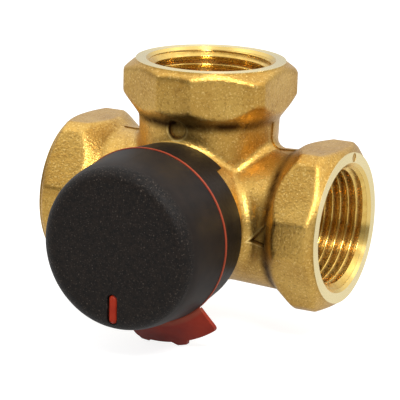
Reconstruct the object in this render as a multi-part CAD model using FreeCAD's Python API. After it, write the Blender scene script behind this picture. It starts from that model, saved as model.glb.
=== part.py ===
import FreeCAD, Part
import math
import os

os.makedirs("parts", exist_ok=True)

# Three-way rotary diverter valve with a push-on hand knob. All sizes are in millimetres.
# The origin is where the axes of the three ports cross. The left and right ports lie along X,
# the top port points up +Z, and the spindle comes out of the front, towards -Y.
# "Forward" is the distance in front of the port axes, so it grows from the body to the knob.

# Pipe ports, inside parallel pipe thread
port_reach = 41.0             # from the port axes to each machined face
thread_major_radius = 16.62
thread_depth_share = 0.4268   # of the port's reach
thread_wall = 2.38            # neck metal left around the thread
mouth_chamfer = 0.78
face_ring_width = 2.8         # machined ring outside the chamfer
face_ring_stand = 0.5         # how far the machined ring stands out of the cast bevel
flat_beyond_ring = 0.85       # spanner flat outside the machined ring
corner_beyond_flat = 2.35     # turned corners outside the flats
front_beyond_flat = 0.5       # the front and back corners are cut off flat, this far outside the flats
hexagon_share = 0.3683        # of the port's reach that the hexagon takes, bevels included
front_bevel_length = 2.8
full_hexagon_length = 6.2
hexagon_edge_round = 1.5
neck_root_round = 3.0         # hollow between the neck and the back bevel
neck_draft = 1.0              # a neck is this much slimmer at the middle of the valve
waterway_radius = 11.2
waterway_mouth_length = 4.0   # cone from the end of the thread into the waterway
thread_end_step = 2.0         # shoulder between the thread and that cone

# Valve chamber and the drum around it
chamber_radius = 16.5
chamber_back = 15.6           # chamber floor behind the port axes
bonnet_ledge = 1.3            # step that the bonnet seats on
bonnet_seat_forward = 16.6
drum_wall = 2.4
drum_front = 24.5
drum_back = 22.0
drum_back_round = 10.0        # around the flat middle of the domed back
casting_fillet_share = 0.435  # of a neck's free length beside the next neck
parting_ridge_height = 0.3
parting_ridge_width = 0.7

# Marks sunk in the casting
round_mark_radius = 2.5
round_mark_from_head = 0.9    # from its centre to where the hexagon starts
mark_depth = 1.2
mark_draft = 0.4
arrow_length = 4.1
arrow_under_head = 0.5        # its base lies this far past where the hexagon starts
arrow_height = 5.2
arrow_tip_drop = 2.0
punch_radius = 1.2
punch_depth = 0.12
punch_angle = 12.5            # from the top of the face towards the back

# Rotor
running_clearance = 0.08
disc_thickness = 2.4
rotor_front_forward = 14.7
segment_wall = 2.8
segment_lap_angle = 3.5       # the segment covers this much more than a waterway, each side
segment_middle_angle = 135.0  # from straight down, so halfway between the right and top ports
rotor_hub_radius = 7.5
rotor_hub_forward = 7.4
trunnion_radius = 4.0
trunnion_length = 4.0
trunnion_chamfer = 0.5
rotor_end_play = 0.1
socket_end_room = 0.2
bush_clearance = 0.06
bush_wall = 1.14
bush_end_room = 0.3
bush_flange_radius = 7.5
bush_flange_thickness = 0.8
rotor_pin_radius = 1.2
rotor_pin_forward = 10.7
rotor_pin_inset = 0.1         # how far the pin's ends lie inside the hub
pin_hole_clearance = 0.02

# Spindle
spindle_radius = 5.0
tail_radius = 4.4
tail_across_flats = 6.2
tail_end_forward = 8.9
spindle_flange_radius = 7.4
spindle_flange_thickness = 1.1
drive_across_flats = 7.8
drive_start_forward = 31.6
spindle_end_forward = 46.0
spindle_end_chamfer = 0.8
spindle_seal_forwards = {"spindle_seal_inner": 20.5, "spindle_seal_outer": 25.5}
spindle_groove_depth = 1.3
spindle_groove_width = 2.0
spindle_clip_groove_depth = 0.8
spindle_clip_thickness = 1.0
spindle_clip_width = 1.7
spindle_clip_gap_angle = 50.0
spindle_clip_standoff = 0.1   # in front of the bonnet's neck
clip_fit = 0.05               # between a clip and the groove or hub that it sits on
clip_eye_radius = 1.4
clip_eye_hole_radius = 0.6
clip_eye_offset = 0.5         # eye centre outside the middle of the band
clip_eye_angle = 8.0          # eye centre from the end of the band
seal_slack = 0.02
washer_thickness = 0.7

# Bonnet
bonnet_clearance = 0.05
bonnet_rim_forward = 21.9
bonnet_step_width = 2.2       # rim in front of which the snap ring sits
bonnet_neck_radius = 7.8
bonnet_neck_forward = 29.6
bonnet_groove_depth = 1.8
bonnet_groove_width = 2.3
bonnet_groove_forward = 19.3
bonnet_tab_width = 4.0
bonnet_tab_height = 1.05
bonnet_tab_length = 1.4
snap_ring_wire_radius = 0.72
snap_ring_grip = 0.85         # how deep the snap ring lies in its groove
snap_ring_gap_angle = 30.0
snap_ring_slack = 0.05

# Collar
collar_drum_clearance = 0.3
collar_overhang = 1.8         # collar outside the drum at its back edge
collar_flare = 1.1            # and this much wider again at its front
collar_back_forward = 22.9
collar_floor_thickness = 3.0
collar_rim_height = 6.9
collar_wall = 3.5
collar_hole_clearance = 0.2
collar_edge_round = 0.5
top_skirt_back_forward = 19.5   # the skirt reaches further back over the top
top_skirt_half_angle = 39.5
stop_tab_half_angle = 10.0
stop_block_angle = 20.0
stop_block_height = 4.4
stop_gap = 0.6                # between the knob's stop ring and the blocks
turn_half_range = 45.0
stop_spare_angle = 1.0        # the stops stand this far beyond the range
screw_circle_radius = 12.2
screw_count = 4
screw_first_angle = 45.0
screw_head_radius = 2.7
screw_head_height = 1.5
screw_head_clearance = 0.15
screw_shank_radius = 1.2
screw_shank_clearance = 0.2
screw_thread_slack = 0.02
screw_depth = 5.5
screw_tip_room = 0.3
screw_drive_width = 0.8
screw_drive_length = 3.0
screw_drive_depth = 0.8

# Turnable ring with its thumb lug
ring_thickness = 0.6
ring_beyond_collar = 0.2
ring_lip_clearance = 0.06
ring_lip_thickness = 1.7
ring_lip_depth = 1.4
lug_angle = 14.0              # from straight down towards the right port
lug_left_width = 12.2         # on each side of its middle line
lug_right_width = 11.5
lug_reach = 7.0               # beyond the ring's edge
lug_drop = 6.4                # how far the outer edge lies behind the ring
lug_thickness = 1.1
lug_clearance = 0.35
lug_corner_radius = 1.8
nub_height = 1.2
nub_tip_half_width = 1.3
nub_side_slope = 0.8          # how much wider each side gets for each millimetre inwards
corner_nub_height = 0.55
corner_nub_half_width = 1.1
corner_nub_offset = 10.2

# Knob
knob_face_forward = 52.2
knob_inside_ring = 0.2        # the knob's back edge lies this far inside the ring's
knob_face_inset = 5.6         # from the back edge to the flat of the face
knob_rim_round = 4.0
knob_rim_end_angle = 24.0     # where the rounding runs into the side, above the spindle's square
knob_waist_inset = 0.8        # inside the back edge, where the side is slimmest
knob_waist_drop = 8.2
knob_skirt_inset = 0.5
knob_skirt_drop = 12.2
knob_gap = 0.1                # between the knob's back edge and the ring
knob_wall = 2.2
knob_plate = 2.2
knob_hub_radius = 8.2
knob_bore_clearance = 0.05
knob_bore_bottom_gap = 0.6
knob_hub_back_forward = 32.2
knob_slit_width = 1.2
knob_slit_length = 8.0
knob_rib_count = 6
knob_rib_thickness = 1.4
knob_rib_height = 8.0
stop_ring_inner_radius = 12.6
stop_ring_thickness = 1.6
stop_ring_forward = 28.4
stop_tab_height = 4.6
stop_tab_width = 3.0
pointer_from_edge = 3.8       # inside the knob's back edge
pointer_length = 7.6
pointer_width = 2.3
pointer_gap = 0.3
pocket_depth = 1.2
pointer_sunk = 0.1            # its flat front lies this far behind the knob's face
pointer_chamfer = 0.45
pointer_peg_radius = 0.7
peg_clearance = 0.02
hub_clip_thickness = 0.7
hub_clip_width = 3.0
hub_clip_inset = 1.3          # from the end of the knob's hub
hub_clip_gap_angle = 60.0

# Sizes that follow from the ones above
thread_end = port_reach * (1 - thread_depth_share)
mouth_radius = thread_major_radius + mouth_chamfer
face_ring_radius = mouth_radius + face_ring_width
hexagon_half_width = face_ring_radius + flat_beyond_ring
hexagon_corner_radius = hexagon_half_width + corner_beyond_flat
hexagon_front_reach = hexagon_half_width + front_beyond_flat
front_bevel_start = port_reach - front_bevel_length
back_bevel_start = front_bevel_start - full_hexagon_length
neck_end = port_reach * (1 - hexagon_share)
neck_radius = thread_major_radius + thread_wall
neck_side = FreeCAD.Vector(neck_draft, 0, neck_end).normalize()
back_bevel = FreeCAD.Vector(hexagon_corner_radius - neck_radius, 0, back_bevel_start - neck_end).normalize()
crease = FreeCAD.Vector(neck_radius, 0, neck_end)
hollow_tangent = neck_root_round * math.tan(neck_side.getAngle(back_bevel) / 2)
hollow_end_height = neck_end + back_bevel.z * hollow_tangent
casting_fillet = casting_fillet_share * (neck_end - neck_radius)
round_mark_height = neck_end - round_mark_from_head
arrow_base_x = neck_end + arrow_under_head
arrow_tip_x = arrow_base_x - arrow_length
bonnet_bore_radius = chamber_radius + bonnet_ledge
drum_radius = bonnet_bore_radius + drum_wall
snap_ring_back = bonnet_rim_forward
snap_groove_radius = bonnet_bore_radius + snap_ring_grip
snap_groove_width = 2 * (snap_ring_wire_radius + snap_ring_slack)
rotor_radius = chamber_radius - running_clearance
rotor_back = chamber_back - bush_flange_thickness - rotor_end_play
port_half_angle = math.degrees(math.asin(waterway_radius / chamber_radius))
segment_half_angle = port_half_angle + segment_lap_angle
bush_bore_radius = trunnion_radius + bush_clearance
bush_outer_radius = bush_bore_radius + bush_wall
bush_end = chamber_back + trunnion_length + bush_end_room
spindle_flange_forward = rotor_front_forward + spindle_flange_thickness
bonnet_bore = spindle_radius + running_clearance
bonnet_radius = bonnet_bore_radius - bonnet_clearance
bonnet_step_radius = bonnet_bore_radius - bonnet_step_width
collar_back_radius = drum_radius + collar_overhang
collar_floor_forward = drum_front + collar_floor_thickness
collar_front_forward = collar_floor_forward + collar_rim_height
collar_front_radius = collar_back_radius + collar_flare
collar_recess_radius = collar_front_radius - collar_wall
ring_front_forward = collar_front_forward + ring_thickness
ring_radius = collar_front_radius + ring_beyond_collar
ring_lip_radius = collar_recess_radius - ring_lip_clearance
ring_bore_radius = ring_lip_radius - ring_lip_thickness
lug_radius = ring_radius + lug_reach
knob_back_radius = ring_radius - knob_inside_ring
knob_skirt_radius = knob_back_radius - knob_skirt_inset
knob_waist_radius = knob_back_radius - knob_waist_inset
knob_face_radius = knob_back_radius - knob_face_inset
knob_back_forward = ring_front_forward + knob_gap
knob_plate_back = knob_face_forward - knob_plate
pocket_floor = knob_face_forward - pocket_depth
pointer_outer_end = knob_back_radius - pointer_from_edge
pointer_inner_end = pointer_outer_end - pointer_length
hub_clip_back = knob_hub_back_forward + hub_clip_inset
stop_ring_radius = stop_ring_inner_radius + stop_ring_thickness
stop_tab_radius = stop_ring_radius + stop_tab_width
stop_block_inner_radius = stop_ring_radius + stop_gap

front = FreeCAD.Vector(0, -1, 0)
up = FreeCAD.Vector(0, 0, 1)
centre = FreeCAD.Vector(0, 0, 0)
drum_seam_angle = 200         # the drum's surface starts clear of the necks


def at(radius, forward):
    """A point of a section through the spindle axis, on the upper side."""
    return FreeCAD.Vector(0, -forward, radius)


def turned(outline):
    """Solid turned about the spindle axis from a closed outline of (radius, forward) points."""
    points = [at(radius, forward) for radius, forward in outline]
    section = Part.Face(Part.makePolygon(points + [points[0]]))
    return section.revolve(centre, front, 360)


def rod(radius, forward_from, forward_to):
    """Round bar on the spindle axis."""
    return Part.makeCylinder(radius, forward_to - forward_from, at(0, forward_from), front)


def tube(inner_radius, outer_radius, forward_from, forward_to):
    return rod(outer_radius, forward_from, forward_to).cut(rod(inner_radius, forward_from, forward_to))


def clock(angle):
    """Unit vector at an angle from straight down, turning towards the right port."""
    turn = math.radians(angle)
    return FreeCAD.Vector(math.sin(turn), 0, -math.cos(turn))


def wedge(middle_angle, half_angle, reach, forward_from, forward_to):
    """Sector block around the spindle axis, for cutting a ring down to part of a circle."""
    steps = max(2, int(math.ceil(half_angle / 30.0)) * 2)
    angles = [middle_angle + half_angle * (2.0 * step / steps - 1) for step in range(steps + 1)]
    corners = [FreeCAD.Vector(0, -forward_from, 0)]
    for angle in angles:
        corners.append(clock(angle) * reach + FreeCAD.Vector(0, -forward_from, 0))
    face = Part.Face(Part.makePolygon(corners + [corners[0]]))
    return face.extrude(front * (forward_to - forward_from))


def flatted(radius, across_flats, forward_from, forward_to):
    """Round bar with two flats, which face up and down."""
    bar = rod(radius, forward_from, forward_to)
    slab = Part.makeBox(4 * radius, forward_to - forward_from, across_flats,
                        FreeCAD.Vector(-2 * radius, -forward_to, -across_flats / 2))
    return bar.common(slab)


def ring_seal(major_radius, section_radius, forward):
    return Part.makeTorus(major_radius, section_radius, at(0, forward), front)


def save(name, shape):
    shape.exportStep("parts/" + name + ".step")


# Each port is drawn along +Z and then swung to its own side.
port_swings = {"left": -90, "top": 0, "right": 90}


def to_port(port, shape):
    swung = shape.copy()
    swung.rotate(centre, FreeCAD.Vector(0, 1, 0), port_swings[port])
    return swung


def port_turned(outline):
    """Solid turned about Z from a closed outline of (radius, distance along the port) points."""
    points = [FreeCAD.Vector(radius, 0, along) for radius, along in outline]
    section = Part.Face(Part.makePolygon(points + [points[0]]))
    return section.revolve(centre, up, 360)


def body_core():
    """Drum with a domed back and three necks, with cast fillets where they meet."""
    round_start = drum_back_round - drum_back
    round_middle = drum_back_round * math.sqrt(0.5)
    flat_radius = drum_radius - drum_back_round
    dome = Part.Arc(at(drum_radius, round_start), at(flat_radius + round_middle, round_start - round_middle),
                    at(flat_radius, -drum_back)).toShape()
    outline = Part.Wire([
        Part.makeLine(at(0, drum_front), at(drum_radius, drum_front)),
        Part.makeLine(at(drum_radius, drum_front), at(drum_radius, round_start)), dome,
        Part.makeLine(at(flat_radius, -drum_back), at(0, -drum_back)),
        Part.makeLine(at(0, -drum_back), at(0, drum_front))])
    drum = Part.Face(outline).revolve(centre, front, 360)
    drum.rotate(centre, front, drum_seam_angle)
    neck = Part.makeCone(neck_radius - neck_draft, neck_radius, neck_end)
    core = drum.fuse([to_port(port, neck) for port in port_swings]).removeSplitter()
    joins = [edge for edge in core.Edges if not isinstance(edge.Curve, (Part.Circle, Part.Line))]
    return core.makeFillet(casting_fillet, joins)


def parting_ridge():
    """Thin raised line all round the body, halfway between its front and its back."""
    half_width = parting_ridge_width / 2
    disc = rod(drum_radius + parting_ridge_height, -half_width, half_width)
    root = neck_radius - neck_draft + parting_ridge_height
    end = neck_radius + parting_ridge_height
    corners = [FreeCAD.Vector(-root, half_width, 0), FreeCAD.Vector(-end, half_width, neck_end),
               FreeCAD.Vector(end, half_width, neck_end), FreeCAD.Vector(root, half_width, 0)]
    blade = Part.Face(Part.makePolygon(corners + [corners[0]])).extrude(front * parting_ridge_width)
    ridge = disc.fuse([to_port(port, blade) for port in port_swings]).removeSplitter()
    inner_corners = [edge for edge in ridge.Edges
                     if edge.BoundBox.XLength + edge.BoundBox.ZLength < 0.01
                     and max(abs(edge.BoundBox.XMin), abs(edge.BoundBox.ZMin)) < neck_radius + casting_fillet]
    return ridge.makeFillet(casting_fillet - parting_ridge_height, inner_corners)


def head_blank():
    """Turned form of a port's head, with a hollow where the back bevel leaves the neck."""
    hollow_start = crease - neck_side * hollow_tangent
    hollow_end = crease + back_bevel * hollow_tangent
    hollow_centre = hollow_start + FreeCAD.Vector(neck_side.z, 0, -neck_side.x) * neck_root_round
    to_crease = (crease - hollow_centre).normalize()
    hollow = Part.Arc(hollow_start, hollow_centre + to_crease * neck_root_round, hollow_end).toShape()
    corners = [hollow_end, FreeCAD.Vector(hexagon_corner_radius, 0, back_bevel_start),
               FreeCAD.Vector(hexagon_corner_radius, 0, front_bevel_start),
               FreeCAD.Vector(face_ring_radius, 0, port_reach - face_ring_stand),
               FreeCAD.Vector(face_ring_radius, 0, port_reach), FreeCAD.Vector(0, 0, port_reach),
               FreeCAD.Vector(0, 0, hollow_start.z), hollow_start]
    outline = Part.Wire([hollow] + [Part.makeLine(one, other) for one, other in zip(corners, corners[1:])])
    return Part.Face(outline).revolve(centre, up, 360)


def port_head():
    """Hexagon for a spanner with softened edges and turned corners, cut off flat at front and back."""
    corner = hexagon_half_width / math.cos(math.radians(30))
    points = []
    for k in range(7):
        turn = math.radians(60 * k)
        points.append(FreeCAD.Vector(corner * math.sin(turn), -corner * math.cos(turn), 0))
    hexagon = Part.Face(Part.makePolygon(points)).extrude(up * port_reach)
    slab = Part.makeBox(4 * corner, 2 * hexagon_front_reach, port_reach,
                        FreeCAD.Vector(-2 * corner, -hexagon_front_reach, 0))
    turned_blank = head_blank()
    turned_blank.rotate(centre, up, 30)
    head = hexagon.common(slab).common(turned_blank)
    soft_edges = [edge for edge in head.Edges
                  if edge.BoundBox.ZMax > hollow_end_height + 0.01
                  and edge.BoundBox.ZMin < port_reach - face_ring_stand - 0.01
                  and len(head.ancestorsOfType(edge, Part.Face)) == 2]
    return head.makeFillet(hexagon_edge_round, soft_edges)


def port_bore():
    """Chamfered mouth, plain thread bore, cone and waterway."""
    return port_turned([
        (0, 0), (waterway_radius, 0), (waterway_radius, thread_end - waterway_mouth_length),
        (thread_major_radius - thread_end_step, thread_end), (thread_major_radius, thread_end),
        (thread_major_radius, port_reach - mouth_chamfer), (mouth_radius, port_reach), (0, port_reach)])


def round_mark():
    neck_face = neck_radius - neck_draft * (1 - round_mark_height / neck_end)
    depth_forward = neck_face - mark_depth
    return Part.makeCone(round_mark_radius - mark_draft, round_mark_radius + mark_draft,
                         2 * mark_depth, FreeCAD.Vector(0, -depth_forward, round_mark_height), front)


def arrow_mark():
    """Triangle pointing at the chamber, sunk in the front of the right neck with sloping walls."""
    neck_face = neck_radius - neck_draft * (1 - arrow_base_x / neck_end)
    floor_forward = neck_face - mark_depth
    sections = []
    for widening, forward in ((0, floor_forward), (2 * mark_draft, floor_forward + 2 * mark_depth)):
        corners = [FreeCAD.Vector(arrow_tip_x - widening, -forward, -arrow_tip_drop),
                   FreeCAD.Vector(arrow_base_x + widening / 2, -forward, arrow_height / 2 + widening),
                   FreeCAD.Vector(arrow_base_x + widening / 2, -forward, -arrow_height / 2 - widening)]
        sections.append(Part.makePolygon(corners + [corners[0]]))
    return Part.makeLoft(sections, True, True)


def punch_mark():
    ring_middle = mouth_radius + face_ring_width / 2
    turn = math.radians(punch_angle)
    spot = FreeCAD.Vector(port_reach - punch_depth, ring_middle * math.sin(turn),
                          ring_middle * math.cos(turn))
    return Part.makeCylinder(punch_radius, 2 * punch_depth, spot, FreeCAD.Vector(1, 0, 0))


def make_valve_body():
    body = body_core()
    body = body.fuse([parting_ridge()] + [to_port(port, port_head()) for port in port_swings])
    chamber = rod(chamber_radius, -chamber_back, bonnet_seat_forward)
    bonnet_bore_cut = rod(bonnet_bore_radius, bonnet_seat_forward, drum_front)
    snap_groove = rod(snap_groove_radius, snap_ring_back, snap_ring_back + snap_groove_width)
    bush_bore = rod(bush_outer_radius, -bush_end, -chamber_back)
    notch_width = bonnet_tab_width + 2 * bonnet_clearance
    notch_bottom = bonnet_bore_radius + bonnet_tab_height + bonnet_clearance
    notch = Part.makeBox(notch_width, drum_front - bonnet_rim_forward + bonnet_tab_length, notch_bottom,
                         FreeCAD.Vector(-notch_width / 2, -drum_front, -notch_bottom))
    bores = [to_port(port, port_bore()) for port in port_swings]
    cuts = [chamber, bonnet_bore_cut, snap_groove, bush_bore, notch, round_mark(), arrow_mark(), punch_mark()]
    return body.cut(cuts + bores)


def make_rear_bush():
    return turned([
        (bush_bore_radius, -chamber_back + bush_flange_thickness),
        (bush_flange_radius, -chamber_back + bush_flange_thickness), (bush_flange_radius, -chamber_back),
        (bush_outer_radius, -chamber_back), (bush_outer_radius, -bush_end), (bush_bore_radius, -bush_end)])


def make_rotor():
    """Two discs joined by a segment of wall that covers one port at each end of the travel."""
    front_disc = rod(rotor_radius, rotor_front_forward - disc_thickness, rotor_front_forward)
    back_disc = rod(rotor_radius, -rotor_back, -rotor_back + disc_thickness)
    wall = tube(rotor_radius - segment_wall, rotor_radius, -rotor_back, rotor_front_forward)
    sector = wedge(segment_middle_angle, segment_half_angle, 2 * chamber_radius,
                   -rotor_back, rotor_front_forward)
    segment = wall.common(sector)
    hub = rod(rotor_hub_radius, rotor_hub_forward, rotor_front_forward)
    trunnion_end = rotor_back + trunnion_length
    trunnion = turned([
        (0, -rotor_back), (trunnion_radius, -rotor_back), (trunnion_radius, trunnion_chamfer - trunnion_end),
        (trunnion_radius - trunnion_chamfer, -trunnion_end), (0, -trunnion_end)])
    socket = flatted(tail_radius + bonnet_clearance, tail_across_flats + 2 * bonnet_clearance,
                     tail_end_forward - socket_end_room, rotor_front_forward)
    rotor = front_disc.fuse([back_disc, segment, hub, trunnion]).removeSplitter()
    return rotor.cut([socket, rotor_pin_hole()])


def cross_pin(radius, half_length):
    """Upright pin through the rotor's hub and the spindle's tail."""
    start = FreeCAD.Vector(0, -rotor_pin_forward, -half_length)
    return Part.makeCylinder(radius, 2 * half_length, start, up)


def rotor_pin_hole():
    return cross_pin(rotor_pin_radius + pin_hole_clearance, rotor_hub_radius + rotor_pin_radius)


def make_rotor_pin():
    half_length = math.sqrt(rotor_hub_radius ** 2 - rotor_pin_radius ** 2) - rotor_pin_inset
    return cross_pin(rotor_pin_radius, half_length)


def make_spindle():
    shaft = turned([
        (0, rotor_front_forward), (spindle_flange_radius, rotor_front_forward),
        (spindle_flange_radius, spindle_flange_forward), (spindle_radius, spindle_flange_forward),
        (spindle_radius, drive_start_forward), (0, drive_start_forward)])
    tail = flatted(tail_radius, tail_across_flats, tail_end_forward, rotor_front_forward)
    drive = flatted(spindle_radius, drive_across_flats, drive_start_forward, spindle_end_forward)
    drive_blank = turned([
        (0, drive_start_forward), (spindle_radius, drive_start_forward),
        (spindle_radius, spindle_end_forward - spindle_end_chamfer),
        (spindle_radius - spindle_end_chamfer, spindle_end_forward), (0, spindle_end_forward)])
    spindle = shaft.fuse([tail, drive.common(drive_blank)])
    grooves = []
    for forward in spindle_seal_forwards.values():
        half_width = spindle_groove_width / 2
        grooves.append(tube(spindle_radius - spindle_groove_depth, 2 * spindle_radius,
                            forward - half_width, forward + half_width))
    clip_back = bonnet_neck_forward + spindle_clip_standoff
    grooves.append(tube(spindle_radius - spindle_clip_groove_depth, 2 * spindle_radius,
                        clip_back - clip_fit, clip_back + spindle_clip_thickness + clip_fit))
    return spindle.cut(grooves + [rotor_pin_hole()])


def make_spindle_seal(forward):
    section_radius = (spindle_groove_depth - seal_slack) / 2
    return ring_seal(spindle_radius - section_radius, section_radius, forward)


def make_spindle_clip():
    """Outside snap ring in front of the bonnet neck, with an eye at each end of its gap."""
    inner = spindle_radius - spindle_clip_groove_depth + clip_fit
    eye_circle_radius = inner + spindle_clip_width / 2 + clip_eye_offset
    back = bonnet_neck_forward + spindle_clip_standoff
    clip_front = back + spindle_clip_thickness
    half_gap = spindle_clip_gap_angle / 2
    band = tube(inner, inner + spindle_clip_width, back, clip_front)
    band = band.cut(wedge(0, half_gap, 3 * spindle_radius, back, clip_front))
    eyes = []
    holes = [rod(inner, back, clip_front)]
    for side in (-1, 1):
        place = clock(side * (half_gap + clip_eye_angle)) * eye_circle_radius + at(0, back)
        eyes.append(Part.makeCylinder(clip_eye_radius, spindle_clip_thickness, place, front))
        holes.append(Part.makeCylinder(clip_eye_hole_radius, spindle_clip_thickness, place, front))
    return band.fuse(eyes).cut(holes)


def make_thrust_washer():
    return tube(spindle_radius + running_clearance, spindle_flange_radius,
                spindle_flange_forward, spindle_flange_forward + washer_thickness)


def screw_spots():
    angles = [screw_first_angle + 360.0 * k / screw_count for k in range(screw_count)]
    return [clock(angle) * screw_circle_radius for angle in angles]


def make_bonnet():
    groove_back = bonnet_groove_forward - bonnet_groove_width / 2
    groove_front = bonnet_groove_forward + bonnet_groove_width / 2
    groove_floor = bonnet_radius - bonnet_groove_depth
    plug = turned([
        (bonnet_bore, bonnet_seat_forward), (bonnet_radius, bonnet_seat_forward),
        (bonnet_radius, groove_back), (groove_floor, groove_back),
        (groove_floor, groove_front), (bonnet_radius, groove_front),
        (bonnet_radius, bonnet_rim_forward), (bonnet_step_radius, bonnet_rim_forward),
        (bonnet_step_radius, drum_front), (bonnet_neck_radius, drum_front),
        (bonnet_neck_radius, bonnet_neck_forward), (bonnet_bore, bonnet_neck_forward)])
    tab_top = bonnet_bore_radius + bonnet_tab_height
    tab = Part.makeBox(bonnet_tab_width, bonnet_tab_length, tab_top - bonnet_step_radius,
                       FreeCAD.Vector(-bonnet_tab_width / 2, -bonnet_rim_forward, -tab_top))
    holes = [Part.makeCylinder(screw_shank_radius, screw_depth + screw_tip_room,
                               spot + at(0, drum_front), front * -1) for spot in screw_spots()]
    return plug.fuse(tab).cut(holes)


def make_bonnet_seal():
    section_radius = (bonnet_groove_depth + bonnet_clearance) / 2 - seal_slack
    return ring_seal(bonnet_bore_radius - seal_slack - section_radius, section_radius, bonnet_groove_forward)


def make_bonnet_ring():
    """Round-wire snap ring that holds the bonnet down."""
    wire_circle_radius = snap_groove_radius - snap_ring_slack - snap_ring_wire_radius
    ring = ring_seal(wire_circle_radius, snap_ring_wire_radius, snap_ring_back + snap_ring_wire_radius)
    gap = wedge(180, snap_ring_gap_angle / 2, 2 * snap_groove_radius,
                snap_ring_back - snap_ring_wire_radius, snap_ring_back + 3 * snap_ring_wire_radius)
    return ring.cut(gap)


def make_collar():
    """Housing ring with a floor, two stop blocks and a skirt that reaches back over the top."""
    flare_slope = collar_flare / (collar_front_forward - collar_back_forward)
    skirt_end_radius = collar_back_radius - flare_slope * (collar_back_forward - top_skirt_back_forward)
    inner_radius = drum_radius + collar_drum_clearance
    hole_radius = bonnet_neck_radius + collar_hole_clearance
    round_start = collar_back_forward + collar_edge_round
    shell = turned([
        (hole_radius, drum_front), (inner_radius, drum_front), (inner_radius, collar_back_forward),
        (collar_back_radius - collar_edge_round, collar_back_forward), (collar_back_radius, round_start),
        (collar_front_radius, collar_front_forward), (collar_recess_radius, collar_front_forward),
        (collar_recess_radius, collar_floor_forward), (hole_radius, collar_floor_forward)])
    top_skirt = turned([
        (inner_radius, drum_front), (inner_radius, top_skirt_back_forward),
        (skirt_end_radius, top_skirt_back_forward), (collar_back_radius, round_start),
        (collar_back_radius, drum_front)])
    skirt_sector = wedge(180, top_skirt_half_angle, 2 * drum_radius, top_skirt_back_forward, drum_front)
    block_middle = turn_half_range + stop_tab_half_angle + stop_spare_angle + stop_block_angle / 2
    block_front = collar_floor_forward + stop_block_height
    block_band = tube(stop_block_inner_radius, collar_recess_radius + collar_wall / 2,
                      collar_floor_forward, block_front)
    blocks = [block_band.common(wedge(side * block_middle, stop_block_angle / 2, 2 * drum_radius,
                                      collar_floor_forward, block_front)) for side in (-1, 1)]
    collar = shell.fuse([top_skirt.common(skirt_sector)] + blocks).removeSplitter()
    holes = []
    for spot in screw_spots():
        head_seat = spot + at(0, collar_floor_forward - screw_head_height)
        holes.append(Part.makeCylinder(screw_head_radius + screw_head_clearance, collar_floor_thickness,
                                       head_seat, front))
        holes.append(Part.makeCylinder(screw_shank_radius + screw_shank_clearance, collar_floor_thickness,
                                       spot + at(0, drum_front), front))
    return collar.cut(holes + [fillet_room()])


def fillet_room():
    """Space that the drum's cast fillet takes under the collar's top skirt."""
    room_round = casting_fillet - collar_drum_clearance
    fillet_start = neck_radius + casting_fillet
    middle = drum_radius + casting_fillet
    inner = middle - room_round
    half = room_round * math.sqrt(0.5)
    arc = Part.Arc(at(inner, fillet_start), at(middle - half, fillet_start - half),
                   at(middle, fillet_start - room_round)).toShape()
    outline = Part.Wire([
        Part.makeLine(at(0, fillet_start), at(inner, fillet_start)), arc,
        Part.makeLine(at(middle, fillet_start - room_round), at(0, fillet_start - room_round)),
        Part.makeLine(at(0, fillet_start - room_round), at(0, fillet_start))])
    return Part.Face(outline).revolve(centre, front, 360)


def make_collar_screws():
    """Four short cross-recess screws that hold the collar on the bonnet."""
    screws = []
    shank_length = collar_floor_thickness - screw_head_height + screw_depth
    for spot in screw_spots():
        head_seat = spot + at(0, collar_floor_forward - screw_head_height)
        head = Part.makeCylinder(screw_head_radius, screw_head_height, head_seat, front)
        shank = Part.makeCylinder(screw_shank_radius - screw_thread_slack, shank_length,
                                  head_seat, front * -1)
        recess = []
        for across, along in ((screw_drive_length, screw_drive_width),
                              (screw_drive_width, screw_drive_length)):
            corner = spot + FreeCAD.Vector(-across / 2, -collar_floor_forward, -along / 2)
            recess.append(Part.makeBox(across, screw_drive_depth, along, corner))
        screws.append(head.fuse(shank).cut(recess))
    return Part.makeCompound(screws)


def lug_blank(forward_from, forward_to):
    """Block with the lug's front view, drawn straight down, with parallel sides and a round end."""
    slab = Part.makeBox(lug_left_width + lug_right_width, forward_to - forward_from, 2 * lug_radius,
                        FreeCAD.Vector(-lug_left_width, -forward_to, -2 * lug_radius))
    blank = slab.common(rod(lug_radius, forward_from, forward_to))
    corners = [edge for edge in blank.Edges
               if edge.BoundBox.ZMax < -lug_radius / 2
               and edge.BoundBox.XLength + edge.BoundBox.ZLength < 0.01]
    return blank.makeFillet(lug_corner_radius, corners)


def nub_block(offset, tip_half_width, height, forward_from, forward_to):
    """Small tooth on the lug's outer edge, narrower at its tip."""
    tip_reach = lug_radius + height
    root_half_width = tip_half_width + nub_side_slope * 2 * height
    root_reach = lug_radius - height
    corners = [FreeCAD.Vector(-root_half_width, -forward_from, -root_reach),
               FreeCAD.Vector(-tip_half_width, -forward_from, -tip_reach),
               FreeCAD.Vector(tip_half_width, -forward_from, -tip_reach),
               FreeCAD.Vector(root_half_width, -forward_from, -root_reach)]
    block = Part.Face(Part.makePolygon(corners + [corners[0]])).extrude(front * (forward_to - forward_from))
    block.rotate(centre, front, math.degrees(math.asin(offset / lug_radius)))
    return block


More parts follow.
